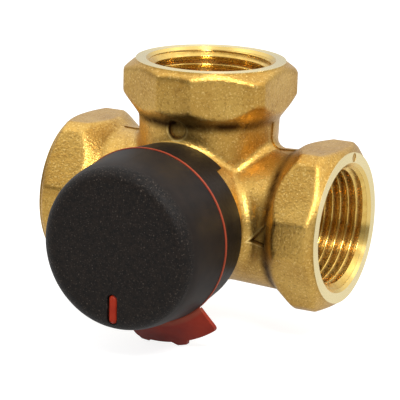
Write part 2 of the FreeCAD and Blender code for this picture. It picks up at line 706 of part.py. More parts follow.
def make_scale_ring():
    """Thin ring between collar and knob, with a lip in the collar and a dished lug below."""
    lip_back = collar_front_forward - ring_lip_depth
    ring = turned([
        (ring_bore_radius, lip_back), (ring_lip_radius, lip_back), (ring_lip_radius, collar_front_forward),
        (ring_radius, collar_front_forward), (ring_radius, ring_front_forward),
        (ring_bore_radius, ring_front_forward)])
    root_radius = collar_front_radius + lug_clearance
    outer_reach = lug_radius + nub_height
    slope = lug_drop / (lug_radius - root_radius)
    outer_front = ring_front_forward - slope * (outer_reach - root_radius)
    thickness_along_axis = lug_thickness * math.hypot(1, slope)
    dished = turned([
        (ring_lip_radius, collar_front_forward), (ring_lip_radius, ring_front_forward),
        (root_radius, ring_front_forward), (outer_reach, outer_front),
        (outer_reach, outer_front - thickness_along_axis),
        (root_radius, ring_front_forward - thickness_along_axis), (root_radius, collar_front_forward)])
    back = ring_front_forward - 3 * lug_drop
    ahead = ring_front_forward + lug_drop
    pieces = [lug_blank(back, ahead), nub_block(0, nub_tip_half_width, nub_height, back, ahead),
              nub_block(-corner_nub_offset, corner_nub_half_width, corner_nub_height, back, ahead)]
    lug = pieces[0].fuse(pieces[1:]).common(dished)
    lug.rotate(centre, front, lug_angle)
    return ring.fuse(lug).removeSplitter()


def knob_skin(inset):
    """Outer form of the knob as a turned solid, moved inwards by inset."""
    rim_centre_forward = knob_face_forward - knob_rim_round
    face_radius = knob_face_radius - inset

    def rim_point(tilt):
        turn = math.radians(tilt)
        return at(face_radius + knob_rim_round * math.cos(turn),
                  rim_centre_forward + knob_rim_round * math.sin(turn))

    rim_end = rim_point(knob_rim_end_angle)
    rim = Part.Arc(rim_point(90), rim_point(45 + knob_rim_end_angle / 2), rim_end).toShape()
    tilt = math.radians(knob_rim_end_angle)
    skirt_forward = knob_face_forward - knob_skirt_drop
    side_points = [rim_end, at(knob_waist_radius - inset, knob_face_forward - knob_waist_drop),
                   at(knob_skirt_radius - inset, skirt_forward),
                   at(knob_back_radius - inset, knob_back_forward)]
    start_slope = at(math.sin(tilt), -math.cos(tilt))
    end_slope = at(knob_back_radius - knob_skirt_radius, knob_back_forward - skirt_forward)
    side = Part.BSplineCurve()
    side.interpolate(Points=side_points, InitialTangent=start_slope, FinalTangent=end_slope)
    outline = Part.Wire([
        Part.makeLine(at(0, knob_face_forward), rim_point(90)), rim, side.toShape(),
        Part.makeLine(side_points[-1], at(0, knob_back_forward)),
        Part.makeLine(at(0, knob_back_forward), at(0, knob_face_forward))])
    return Part.Face(outline).revolve(centre, front, 360)


def slot_block(width, inner_end, outer_end, forward_from, forward_to):
    """Straight bar with round ends, reaching down from the knob's middle."""
    radius = width / 2
    depth = forward_to - forward_from
    middle = Part.makeBox(width, depth, outer_end - inner_end - width,
                          FreeCAD.Vector(-radius, -forward_to, -outer_end + radius))
    ends = [Part.makeCylinder(radius, depth, FreeCAD.Vector(0, -forward_from, -reach), front)
            for reach in (inner_end + radius, outer_end - radius)]
    return middle.fuse(ends).removeSplitter()


def make_knob():
    """Hollow push-on knob: hub with a flatted bore, stop ring with its tab, and ribs between."""
    shell = knob_skin(0).cut(knob_skin(knob_wall).common(rod(2 * knob_back_radius, 0, knob_plate_back)))
    hub = rod(knob_hub_radius, knob_hub_back_forward, knob_plate_back)
    stop_ring = tube(stop_ring_inner_radius, stop_ring_radius, stop_ring_forward, knob_plate_back)
    tab_front = stop_ring_forward + stop_tab_height
    tab = tube(stop_ring_radius - stop_ring_thickness / 2, stop_tab_radius, stop_ring_forward, tab_front)
    tab = tab.common(wedge(0, stop_tab_half_angle, 2 * stop_tab_radius, stop_ring_forward, tab_front))
    ribs = []
    rib_start = knob_hub_radius - knob_rib_thickness
    rib_blank = Part.makeBox(knob_rib_thickness, knob_rib_height, knob_back_radius - rib_start,
                             FreeCAD.Vector(-knob_rib_thickness / 2, -knob_plate_back, rib_start))
    for k in range(knob_rib_count):
        rib = rib_blank.copy()
        rib.rotate(centre, front, 360.0 * k / knob_rib_count)
        ribs.append(rib.common(knob_skin(knob_wall / 2)))
    bore = flatted(spindle_radius + knob_bore_clearance, drive_across_flats + 2 * knob_bore_clearance,
                   drive_start_forward, spindle_end_forward + knob_bore_bottom_gap)
    slit_reach = (knob_hub_radius + stop_ring_inner_radius) / 2
    slit_end_forward = knob_hub_back_forward + knob_slit_length
    slits = Part.makeBox(2 * slit_reach, knob_slit_length, knob_slit_width,
                         FreeCAD.Vector(-slit_reach, -slit_end_forward, -knob_slit_width / 2))
    pocket = slot_block(pointer_width + 2 * pointer_gap, pointer_inner_end - pointer_gap,
                        pointer_outer_end + pointer_gap, pocket_floor, knob_face_forward + pocket_depth)
    knob = shell.fuse([hub, stop_ring, tab] + ribs).removeSplitter()
    return knob.cut([bore, slits, pocket, pointer_peg(peg_clearance)])


def pointer_peg(extra):
    middle = (pointer_inner_end + pointer_outer_end) / 2
    return Part.makeCylinder(pointer_peg_radius + extra, pocket_floor - knob_plate_back,
                             FreeCAD.Vector(0, -knob_plate_back, -middle), front)


def make_knob_pointer():
    bar_front = knob_face_forward - pointer_sunk
    bar = slot_block(pointer_width, pointer_inner_end, pointer_outer_end, pocket_floor, bar_front)
    rim = [edge for edge in bar.Edges if edge.BoundBox.YMax < 0.01 - bar_front]
    return bar.makeChamfer(pointer_chamfer, rim).fuse(pointer_peg(0))


def make_knob_hub_clip():
    """Open spring band that squeezes the slit hub on the spindle."""
    inner = knob_hub_radius + clip_fit
    clip_front = hub_clip_back + hub_clip_width
    band = tube(inner, inner + hub_clip_thickness, hub_clip_back, clip_front)
    return band.cut(wedge(180, hub_clip_gap_angle / 2, 3 * knob_hub_radius, hub_clip_back, clip_front))


save("valve_body", make_valve_body())
save("rear_bush", make_rear_bush())
save("rotor", make_rotor())
save("rotor_pin", make_rotor_pin())
save("spindle", make_spindle())
for seal_name, seal_forward in spindle_seal_forwards.items():
    save(seal_name, make_spindle_seal(seal_forward))
save("spindle_clip", make_spindle_clip())
save("thrust_washer", make_thrust_washer())
save("bonnet", make_bonnet())
save("bonnet_seal", make_bonnet_seal())
save("bonnet_ring", make_bonnet_ring())
save("collar", make_collar())
save("collar_screws", make_collar_screws())
save("scale_ring", make_scale_ring())
save("knob", make_knob())
save("knob_pointer", make_knob_pointer())
save("knob_hub_clip", make_knob_hub_clip())
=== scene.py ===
import math

import bmesh
import bpy
from mathutils import Matrix, Vector


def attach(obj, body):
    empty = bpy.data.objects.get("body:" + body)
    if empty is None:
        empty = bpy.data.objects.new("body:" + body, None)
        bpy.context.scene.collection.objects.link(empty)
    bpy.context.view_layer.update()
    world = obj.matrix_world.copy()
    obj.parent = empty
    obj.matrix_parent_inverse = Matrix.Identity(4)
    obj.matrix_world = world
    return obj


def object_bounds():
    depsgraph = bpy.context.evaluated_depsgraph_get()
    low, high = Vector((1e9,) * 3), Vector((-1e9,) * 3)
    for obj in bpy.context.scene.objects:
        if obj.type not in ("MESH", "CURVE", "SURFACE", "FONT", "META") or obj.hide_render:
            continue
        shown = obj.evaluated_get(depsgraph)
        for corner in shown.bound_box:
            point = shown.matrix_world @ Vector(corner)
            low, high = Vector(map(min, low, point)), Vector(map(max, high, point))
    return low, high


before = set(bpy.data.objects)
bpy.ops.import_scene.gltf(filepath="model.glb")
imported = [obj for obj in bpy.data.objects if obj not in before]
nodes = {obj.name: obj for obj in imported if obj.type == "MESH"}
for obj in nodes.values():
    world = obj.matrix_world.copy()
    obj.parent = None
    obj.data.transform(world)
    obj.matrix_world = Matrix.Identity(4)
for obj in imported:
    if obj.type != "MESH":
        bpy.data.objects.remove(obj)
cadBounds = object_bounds()
print("packed nodes:", len(nodes))

mm = 0.001  # sizes below are in metres: a number of millimetres times this


# small helpers for materials

def startMaterial(name):
    material = bpy.data.materials.new(name)
    material.use_nodes = True
    tree = material.node_tree
    tree.nodes.clear()
    output = tree.nodes.new("ShaderNodeOutputMaterial")
    shader = tree.nodes.new("ShaderNodeBsdfPrincipled")
    tree.links.new(shader.outputs["BSDF"], output.inputs["Surface"])
    coords = tree.nodes.new("ShaderNodeTexCoord")
    return material, tree, shader, coords.outputs["Object"]


def addNoise(tree, coords, scale, detail=3.0, roughness=0.55):
    noise = tree.nodes.new("ShaderNodeTexNoise")
    noise.inputs["Scale"].default_value = scale
    noise.inputs["Detail"].default_value = detail
    noise.inputs["Roughness"].default_value = roughness
    tree.links.new(coords, noise.inputs["Vector"])
    return noise.outputs["Fac"]


def addRamp(tree, value, dark, pale, darkEnd=0.35, paleStart=0.65):
    ramp = tree.nodes.new("ShaderNodeValToRGB")
    elements = ramp.color_ramp.elements
    for element, position, colour in zip(elements, (darkEnd, paleStart), (dark, pale)):
        element.position = position
        element.color = (*colour, 1.0)
    tree.links.new(value, ramp.inputs["Fac"])
    return ramp.outputs["Color"]


def addRange(tree, value, fromLow, fromHigh, toLow, toHigh, smooth=False):
    node = tree.nodes.new("ShaderNodeMapRange")
    if smooth:
        node.interpolation_type = "SMOOTHSTEP"
    node.inputs["From Min"].default_value = fromLow
    node.inputs["From Max"].default_value = fromHigh
    node.inputs["To Min"].default_value = toLow
    node.inputs["To Max"].default_value = toHigh
    tree.links.new(value, node.inputs["Value"])
    return node.outputs["Result"]


def addMath(tree, operation, first, second=None):
    node = tree.nodes.new("ShaderNodeMath")
    node.operation = operation
    for socket, value in zip(node.inputs, (first, second)):
        if value is None:
            continue
        if isinstance(value, (int, float)):
            socket.default_value = value
        else:
            tree.links.new(value, socket)
    return node.outputs["Value"]


def addProduct(tree, first, *others):
    for other in others:
        first = addMath(tree, "MULTIPLY", first, other)
    return first


def addLength(tree, first, second):
    squares = addMath(tree, "ADD", addProduct(tree, first, first), addProduct(tree, second, second))
    return addMath(tree, "SQRT", squares)


def mixColours(tree, factor, first, second):
    node = tree.nodes.new("ShaderNodeMix")
    node.data_type = "RGBA"
    tree.links.new(factor, node.inputs["Factor"])
    for socket, value in ((node.inputs[6], first), (node.inputs[7], second)):
        if isinstance(value, tuple):
            socket.default_value = (*value, 1.0)
        else:
            tree.links.new(value, socket)
    return node.outputs[2]


def mixVectors(tree, factor, first, second):
    node = tree.nodes.new("ShaderNodeMix")
    node.data_type = "VECTOR"
    tree.links.new(factor, node.inputs["Factor"])
    tree.links.new(first, node.inputs[4])
    tree.links.new(second, node.inputs[5])
    return node.outputs[1]


def addBump(tree, height, strength, distance, normal=None):
    bump = tree.nodes.new("ShaderNodeBump")
    bump.inputs["Strength"].default_value = strength
    bump.inputs["Distance"].default_value = distance
    tree.links.new(height, bump.inputs["Height"])
    if normal is not None:
        tree.links.new(normal, bump.inputs["Normal"])
    return bump.outputs["Normal"]


def addVector(tree, operation, first, second=None):
    node = tree.nodes.new("ShaderNodeVectorMath")
    node.operation = operation
    tree.links.new(first, node.inputs[0])
    if second is not None:
        tree.links.new(second, node.inputs[1])
    return node.outputs["Vector"]


def addCombined(tree, x=0.0, y=0.0, z=0.0):
    node = tree.nodes.new("ShaderNodeCombineXYZ")
    for socket, value in zip(node.inputs, (x, y, z)):
        if isinstance(value, float):
            socket.default_value = value
        else:
            tree.links.new(value, socket)
    return node.outputs["Vector"]


def splitVector(tree, vector):
    node = tree.nodes.new("ShaderNodeSeparateXYZ")
    tree.links.new(vector, node.inputs["Vector"])
    return [node.outputs[axis] for axis in "XYZ"]


def fromSrgb(red, green, blue):
    def linear(level):
        level /= 255
        return level / 12.92 if level <= 0.04045 else ((level + 0.055) / 1.055) ** 2.4
    return (linear(red), linear(green), linear(blue))


# cast and machined brass

brassLook = {
    "castPale": fromSrgb(214, 174, 92),
    "castDark": fromSrgb(184, 140, 64),
    "castStain": fromSrgb(124, 80, 32),
    # pale grain specks, and also the painted highlight along the edges of the marks
    "paleGrainAndHighlight": fromSrgb(246, 214, 136),
    # painted shade, for the hollows under the heads and inside the marks
    "shadeColour": fromSrgb(62, 40, 17),
    "machined": fromSrgb(240, 222, 166),
    "threaded": fromSrgb(232, 200, 120),
    "threadPale": fromSrgb(236, 202, 116),
    "threadDark": fromSrgb(212, 172, 86),
    "castRoughness": 0.34,
    "shadeRoughness": 0.25,   # added to the cast one
    "machinedRoughness": 0.27,
    "threadRoughness": 0.25,
    "turnedStretch": 0.9,
    "blotchScale": 70.0,       # scales are in grains to a metre
    "grainScale": 1500.0,
    "swellScale": 260.0,
    "swellShare": 0.9,         # of the grain's height
    "grainStrength": 0.6,
    "grainDepth": 0.20 * mm,
    "latheLines": 9000.0,
    "latheDepth": 0.04,        # of the grain's depth
    "faceReach": 40.95 * mm,   # the machined faces lie at this distance or beyond
    "boreRadius": 17.45 * mm,
    "boreStart": 23.4 * mm,
    "headStart": 27.5 * mm,    # from here outwards the edges are worn round
    "edgeWear": 1.8 * mm,
}
castLayers = [                 # each is noise between start and end, laid over the colour before it
    {"colour": "castStain", "scale": 1500.0, "detail": 3.0, "roughness": 0.70,
     "start": 0.50, "end": 0.70, "strength": 0.42},
    {"colour": "paleGrainAndHighlight", "scale": 1900.0, "detail": 2.0, "roughness": 0.60,
     "start": 0.54, "end": 0.70, "strength": 0.60},
    {"colour": "castStain", "scale": 240.0, "detail": 6.0, "roughness": 0.75,
     "start": 0.56, "end": 0.76, "strength": 0.45},
]
crease = {                     # painted shade where a neck runs into the underside of its head
    "reach": 26.5 * mm,
    "width": 2.9 * mm,
    "radius": 22.2 * mm,
    "fade": 1.5 * mm,
    "backEnd": 4.0 * mm,       # the painted shade grows from here to the front
    "frontStart": -13.0 * mm,
    "backLevel": 0.25,
    "leftEnd": -22.0 * mm,     # and from here to the right
    "rightStart": -10.0 * mm,
    "leftLevel": 0.2,
    "raggedScale": 160.0,
    "raggedLow": 0.7,
}
marks = {                      # the round mark and the arrow, sunk in the front of the necks
    "front": -12.0 * mm,
    "roundHeight": 25.0 * mm,
    "roundRadius": 2.7 * mm,
    "arrowTip": 21.9 * mm,
    "arrowBase": 26.6 * mm,
    "arrowHalf": 3.0 * mm,
    "arrowDrop": 2.0 * mm,
    # painted shade along the inside of each mark's edge
    "shadeInside": 0.35 * mm,
    "shadeWidth": 0.55 * mm,
    # painted highlight just outside each mark's edge
    "highlightOutside": 0.3 * mm,
    "highlightWidth": 0.35 * mm,
    "highlightStrength": 0.9,
}


def portMasks(tree, coords, look):
    # 1 on the machined ring faces, and 1 inside the thread bores, for all three ports
    x, y, z = splitVector(tree, coords)
    sideways = addMath(tree, "ABSOLUTE", x)
    fromSideAxis = addLength(tree, y, z)
    fromTopAxis = addLength(tree, y, x)
    furthest = addMath(tree, "MAXIMUM", sideways, z)
    faces = addMath(tree, "GREATER_THAN", furthest, look["faceReach"])
    sideBore = addProduct(tree, addMath(tree, "LESS_THAN", fromSideAxis, look["boreRadius"]),
                          addMath(tree, "GREATER_THAN", sideways, look["boreStart"]))
    topBore = addProduct(tree, addMath(tree, "LESS_THAN", fromTopAxis, look["boreRadius"]),
                         addMath(tree, "GREATER_THAN", z, look["boreStart"]))
    bores = addMath(tree, "MAXIMUM", sideBore, topBore)
    radius = addMath(tree, "MINIMUM", fromSideAxis, fromTopAxis)
    return faces, bores, radius


def headMask(tree, coords, look):
    x, _, z = splitVector(tree, coords)
    reach = addMath(tree, "MAXIMUM", addMath(tree, "ABSOLUTE", x), z)
    return addMath(tree, "GREATER_THAN", reach, look["headStart"])


def creaseMask(tree, coords, size):
    # how much shade is painted in the hollow behind each port head, up to 1, least at the back and left
    x, y, z = splitVector(tree, coords)
    sideways = addMath(tree, "ABSOLUTE", x)
    onTop = addMath(tree, "GREATER_THAN", z, sideways)
    reach = addMath(tree, "MAXIMUM", sideways, z)
    across = addMath(tree, "ADD", addProduct(tree, onTop, x),
                     addProduct(tree, addMath(tree, "SUBTRACT", 1.0, onTop), z))
    radius = addLength(tree, y, across)
    fromCrease = addMath(tree, "ABSOLUTE", addMath(tree, "SUBTRACT", reach, size["reach"]))
    along = addRange(tree, fromCrease, 0.0, size["width"], 1.0, 0.0, True)
    inward = addRange(tree, radius, size["radius"] - size["fade"], size["radius"] + size["fade"],
                      1.0, 0.0, True)
    forward = addRange(tree, y, size["backEnd"], size["frontStart"], size["backLevel"], 1.0, True)
    rightward = addRange(tree, x, size["leftEnd"], size["rightStart"], size["leftLevel"], 1.0, True)
    return addProduct(tree, along, inward, forward, rightward)


def addHalfPlane(tree, x, z, start, end):
    # how far a point lies to the left of the line from start to end, seen from the front
    run, rise = end[0] - start[0], end[1] - start[1]
    length = math.hypot(run, rise)
    partX = addProduct(tree, addMath(tree, "SUBTRACT", x, start[0]), -rise / length)
    partZ = addProduct(tree, addMath(tree, "SUBTRACT", z, start[1]), run / length)
    return addMath(tree, "ADD", partX, partZ)


def markMasks(tree, coords, size):
    # 1 along the inside of the two marks, for painted shade, and 1 just outside their edges, for a painted
    # highlight
    x, y, z = splitVector(tree, coords)
    fromCentre = addLength(tree, x, addMath(tree, "SUBTRACT", z, size["roundHeight"]))
    fromRound = addMath(tree, "SUBTRACT", fromCentre, size["roundRadius"])
    tip = (size["arrowTip"], -size["arrowDrop"])
    high = (size["arrowBase"], size["arrowHalf"])
    low = (size["arrowBase"], -size["arrowHalf"])
    sides = [addHalfPlane(tree, x, z, start, end) for start, end in ((tip, high), (high, low), (low, tip))]
    fromArrow = addMath(tree, "MAXIMUM", addMath(tree, "MAXIMUM", sides[0], sides[1]), sides[2])
    outside = addMath(tree, "MINIMUM", fromRound, fromArrow)
    front = addMath(tree, "LESS_THAN", y, size["front"])
    masks = []
    for middle, width in ((-size["shadeInside"], size["shadeWidth"]), (size["highlightOutside"], size["highlightWidth"])):
        away = addMath(tree, "ABSOLUTE", addMath(tree, "SUBTRACT", outside, middle))
        masks.append(addProduct(tree, addRange(tree, away, 0.0, width, 1.0, 0.0, True), front))
    return masks


def addWornEdges(tree, amount, radius):
    # normals that run softly round the edges, where the amount is 1
    surface = tree.nodes.new("ShaderNodeNewGeometry")
    roundEdgeAndRimSheen = tree.nodes.new("ShaderNodeBevel")
    roundEdgeAndRimSheen.samples = 6
    roundEdgeAndRimSheen.inputs["Radius"].default_value = radius
    blend = mixVectors(tree, amount, surface.outputs["Normal"], roundEdgeAndRimSheen.outputs["Normal"])
    return addVector(tree, "NORMALIZE", blend)


def turnedTangent(tree, coords):
    # across the tool marks of a turned surface, so its highlights stretch that way
    x, y, z = splitVector(tree, coords)
    aroundSide = addCombined(tree, 0.0, addProduct(tree, z, -1.0), y)
    aroundTop = addCombined(tree, addProduct(tree, y, -1.0), x, 0.0)
    onTop = addMath(tree, "GREATER_THAN", z, addMath(tree, "ABSOLUTE", x))
    around = mixVectors(tree, onTop, aroundSide, aroundTop)
    surface = tree.nodes.new("ShaderNodeNewGeometry")
    return addVector(tree, "NORMALIZE",
                     addVector(tree, "CROSS_PRODUCT", surface.outputs["Normal"], around))


def addCastColour(tree, coords, look, shadeAmount, markHighlight):
    blotches = addNoise(tree, coords, look["blotchScale"], 4.0, 0.6)
    colour = addRamp(tree, blotches, look["castDark"], look["castPale"], 0.30, 0.68)
    for layer in castLayers:
        noise = addNoise(tree, coords, layer["scale"], layer["detail"], layer["roughness"])
        amount = addRange(tree, noise, layer["start"], layer["end"], 0.0, layer["strength"], True)
        colour = mixColours(tree, amount, colour, look[layer["colour"]])
    # painted highlight just outside the edges of the marks
    colour = mixColours(tree, addProduct(tree, markHighlight, marks["highlightStrength"]), colour, look["paleGrainAndHighlight"])
    # painted shade in the hollows under the heads and inside the marks
    return mixColours(tree, shadeAmount, colour, look["shadeColour"])


def makeCastBrass(name, look):
    material, tree, shader, coords = startMaterial(name)
    faces, bores, radius = portMasks(tree, coords, look)
    machined = addMath(tree, "MAXIMUM", faces, bores)
    cast = addMath(tree, "SUBTRACT", 1.0, machined)

    # painted shade inside the marks, and a painted highlight just outside their edges
    markShade, markHighlight = markMasks(tree, coords, marks)
    # painted shade in the hollow under each head, broken up by noise
    ragged = addRange(tree, addNoise(tree, coords, crease["raggedScale"], 5.0, 0.7), 0.35, 0.60,
                      crease["raggedLow"], 1.0, True)
    shadeAmount = addProduct(tree, addMath(tree, "MAXIMUM", creaseMask(tree, coords, crease), markShade), ragged)
    colour = addCastColour(tree, coords, look, shadeAmount, markHighlight)
    colour = mixColours(tree, faces, colour, look["machined"])
    colour = mixColours(tree, bores, colour, look["threaded"])
    tree.links.new(colour, shader.inputs["Base Color"])
    shader.inputs["Metallic"].default_value = 1.0

    grain = addNoise(tree, coords, look["grainScale"], 3.0, 0.6)
    castRough = addRange(tree, grain, 0.3, 0.7, look["castRoughness"] - 0.08, look["castRoughness"] + 0.10)
    castRough = addMath(tree, "ADD", castRough, addProduct(tree, shadeAmount, look["shadeRoughness"]))
    roughness = addMath(tree, "ADD", addProduct(tree, castRough, cast),
                        addProduct(tree, machined, look["machinedRoughness"]))
    tree.links.new(roughness, shader.inputs["Roughness"])
    tree.links.new(turnedTangent(tree, coords), shader.inputs["Tangent"])
    tree.links.new(addProduct(tree, machined, look["turnedStretch"]), shader.inputs["Anisotropic"])

    lathe = addMath(tree, "SINE", addProduct(tree, radius, look["latheLines"]))
    latheHeight = addProduct(tree, lathe, look["latheDepth"], faces)
    swell = addProduct(tree, addNoise(tree, coords, look["swellScale"], 3.0, 0.5), look["swellShare"])
    castHeight = addProduct(tree, addMath(tree, "ADD", grain, swell), cast)
    height = addMath(tree, "ADD", castHeight, latheHeight)
    onHead = addProduct(tree, headMask(tree, coords, look), cast)
    roundEdgeAndRimSheen = addWornEdges(tree, onHead, look["edgeWear"])
    bump = addBump(tree, height, look["grainStrength"], look["grainDepth"], roundEdgeAndRimSheen)
    tree.links.new(bump, shader.inputs["Normal"])
    return material


def makeThreadBrass(name, look):
    material, tree, shader, coords = startMaterial(name)
    tint = addNoise(tree, coords, 320.0, 3.0, 0.6)
    tree.links.new(addRamp(tree, tint, look["threadDark"], look["threadPale"], 0.3, 0.7),
                   shader.inputs["Base Color"])
    shader.inputs["Metallic"].default_value = 1.0
    streaks = addNoise(tree, coords, 700.0, 2.0, 0.5)
    tree.links.new(addRange(tree, streaks, 0.3, 0.7, look["threadRoughness"] - 0.03,
                            look["threadRoughness"] + 0.05), shader.inputs["Roughness"])
    tree.links.new(turnedTangent(tree, coords), shader.inputs["Tangent"])
    shader.inputs["Anisotropic"].default_value = look["turnedStretch"]
    tree.links.new(addBump(tree, streaks, 0.1, 0.02 * mm), shader.inputs["Normal"])
    return material


castBrass = makeCastBrass("castBrass", brassLook)
threadBrass = makeThreadBrass("threadBrass", brassLook)
print("brass made")


# plastics, rubber and steel

knobLook = {
    "sparkEnd": 49.2 * mm,       # the rough grain covers everything in front of this
    "sparkFade": 0.7 * mm,
    "sparkScale": 2300.0,
    "sparkDepth": 0.16 * mm,
    "mottleScale": 1100.0,
    "facePale": fromSrgb(31, 24, 19),
    "faceDark": fromSrgb(13, 10, 8),
    "speck": fromSrgb(88, 78, 70),
    "skirtPale": fromSrgb(33, 24, 18),
    "skirtDark": fromSrgb(23, 16, 12),
    "faceRoughness": 0.50,
    "skirtRoughness": 0.48,
    "faceShine": 0.18,
    "skirtShine": 0.16,
}
redLook = {
    "pale": fromSrgb(174, 53, 28),
    "dark": fromSrgb(150, 38, 18),
    # a paler colour on the rim, a painted sheen
    "rimSheenPale": fromSrgb(172, 78, 54),
    "rimSheenDark": fromSrgb(156, 64, 43),
    "rimReach": 24.2 * mm,       # only the lug lies further from the knob's axis
    "rimFade": 0.8 * mm,
    "ringEnd": 40.0 * mm,        # the pointer lies in front of this
    "roughness": 0.44,
    "shine": 0.18,
}
collarLook = {
    "pale": fromSrgb(30, 24, 20), "dark": fromSrgb(22, 17, 15), "roughness": 0.46, "shine": 0.14,
    "grainScale": 900.0, "grainDepth": 0.02 * mm, "grainStrength": 0.2,
}
bearingLook = {
    "pale": fromSrgb(214, 210, 198), "dark": fromSrgb(196, 192, 180), "roughness": 0.42, "shine": 0.5,
    "grainScale": 1000.0, "grainDepth": 0.02 * mm, "grainStrength": 0.2,
}
rubberLook = {
    "pale": fromSrgb(34, 34, 34), "dark": fromSrgb(24, 24, 24), "roughness": 0.6, "shine": 0.5,
    "grainScale": 1400.0, "grainDepth": 0.03 * mm, "grainStrength": 0.3,
}
steelLook = {"pale": fromSrgb(186, 186, 188), "dark": fromSrgb(150, 150, 152)}


def makePlastic(name, look):
    material, tree, shader, coords = startMaterial(name)
    cloud = addNoise(tree, coords, 120.0, 3.0)
    grain = addNoise(tree, coords, look["grainScale"], 2.0, 0.6)
    shader.inputs["Specular IOR Level"].default_value = look["shine"]
    tree.links.new(addRamp(tree, cloud, look["dark"], look["pale"]), shader.inputs["Base Color"])
    tree.links.new(addRange(tree, grain, 0.3, 0.7, look["roughness"] - 0.05, look["roughness"] + 0.05),
                   shader.inputs["Roughness"])
    tree.links.new(addBump(tree, grain, look["grainStrength"], look["grainDepth"]), shader.inputs["Normal"])
    return material


def makeKnobPlastic(name, look):
    material, tree, shader, coords = startMaterial(name)
    _, y, _ = splitVector(tree, coords)
    spark = addRange(tree, addProduct(tree, y, -1.0), look["sparkEnd"] - look["sparkFade"],
                     look["sparkEnd"] + look["sparkFade"], 0.0, 1.0, True)

    grain = addNoise(tree, coords, look["sparkScale"], 2.5, 0.65)
    mottle = addNoise(tree, coords, look["mottleScale"], 3.0, 0.6)
    faceColour = addRamp(tree, mottle, look["faceDark"], look["facePale"])
    specks = addRange(tree, grain, 0.58, 0.72, 0.0, 0.9, True)
    faceColour = mixColours(tree, specks, faceColour, look["speck"])
    skirtColour = addRamp(tree, addNoise(tree, coords, 240.0), look["skirtDark"], look["skirtPale"])
    tree.links.new(mixColours(tree, spark, skirtColour, faceColour), shader.inputs["Base Color"])
    tree.links.new(addRange(tree, spark, 0.0, 1.0, look["skirtRoughness"], look["faceRoughness"]),
                   shader.inputs["Roughness"])
    tree.links.new(addRange(tree, spark, 0.0, 1.0, look["skirtShine"], look["faceShine"]),
                   shader.inputs["Specular IOR Level"])
    height = addProduct(tree, grain, addRange(tree, spark, 0.0, 1.0, 0.06, 1.0))
    tree.links.new(addBump(tree, height, 0.9, look["sparkDepth"]), shader.inputs["Normal"])
    return material


def makeRedPlastic(name, look):
    material, tree, shader, coords = startMaterial(name)
    x, y, z = splitVector(tree, coords)
    inside = addRange(tree, addLength(tree, x, z), look["rimReach"], look["rimReach"] + look["rimFade"],
                      1.0, 0.0)
    rim = addProduct(tree, addMath(tree, "GREATER_THAN", y, -look["ringEnd"]), inside)
    cloud = addNoise(tree, coords, 120.0, 3.0)
    plain = addRamp(tree, cloud, look["dark"], look["pale"])
    # the rim's paler colour is a painted sheen
    roundEdgeAndRimSheen = addRamp(tree, cloud, look["rimSheenDark"], look["rimSheenPale"])
    tree.links.new(mixColours(tree, rim, plain, roundEdgeAndRimSheen), shader.inputs["Base Color"])
    grain = addNoise(tree, coords, 1100.0, 2.0, 0.6)
    shader.inputs["Specular IOR Level"].default_value = look["shine"]
    tree.links.new(addRange(tree, grain, 0.3, 0.7, look["roughness"] - 0.05, look["roughness"] + 0.05),
                   shader.inputs["Roughness"])
    tree.links.new(addBump(tree, grain, 0.25, 0.02 * mm), shader.inputs["Normal"])
    return material


def makeSteel(name, look):
    material, tree, shader, coords = startMaterial(name)
    tint = addNoise(tree, coords, 300.0)
    tree.links.new(addRamp(tree, tint, look["dark"], look["pale"], 0.3, 0.7), shader.inputs["Base Color"])
    shader.inputs["Metallic"].default_value = 1.0
    grain = addNoise(tree, coords, 2400.0)
    tree.links.new(addRange(tree, grain, 0.3, 0.7, 0.24, 0.38), shader.inputs["Roughness"])
    tree.links.new(addBump(tree, grain, 0.2, 0.02 * mm), shader.inputs["Normal"])
    return material


knobPlastic = makeKnobPlastic("knobPlastic", knobLook)
redPlastic = makeRedPlastic("redPlastic", redLook)
collarPlastic = makePlastic("collarPlastic", collarLook)
bearingPlastic = makePlastic("bearingPlastic", bearingLook)
sealRubber = makePlastic("sealRubber", rubberLook)
springSteel = makeSteel("springSteel", steelLook)

finishes = {
    "valve_body": castBrass, "rotor": threadBrass,
    "collar": collarPlastic, "bonnet": collarPlastic,
    "knob": knobPlastic,
    "scale_ring": redPlastic, "knob_pointer": redPlastic,
    "rear_bush": bearingPlastic, "spindle": bearingPlastic, "thrust_washer": bearingPlastic,
    "bonnet_seal": sealRubber, "spindle_seal_inner": sealRubber, "spindle_seal_outer": sealRubber,
    "bonnet_ring": springSteel, "collar_screws": springSteel, "rotor_pin": springSteel,
    "spindle_clip": springSteel, "knob_hub_clip": springSteel,
}
for nodeName, finish in finishes.items():
    nodes[nodeName].material_slots[0].material = finish
print("materials on", len(finishes), "packed nodes")


# pipe threads, one helical ridge in each port

thread = {                     # in millimetres, degrees for the flank
    "pitch": 2.309,
    "rootRadius": 16.68,       # just inside the wall of the bore
    "crestRadius": 15.15,
    "rootHalfWidth": 1.10,
    "rootRise": 0.17,          # height of the hollow at the foot of each flank
    "rootSkin": 0.12,          # the ridge keeps at least this thickness where it is trimmed
    "crestRound": 0.32,
    "flankAngle": 27.5,
    "flankSteps": 4,
    "roundSteps": 4,
    "mouthReach": 41.0,        # from the port axes to the face
    "mouthGap": 0.2,           # the ridge stops this far inside the face
    "mouthRadius": 17.46,      # the chamfer's cone at the face, a hair inside the metal
    "innerEnd": 23.6,
    "fadeStart": 26.2,         # from here inwards the ridge runs out
    "stepsPerTurn": 96,
    "sharpAngle": 50,
}


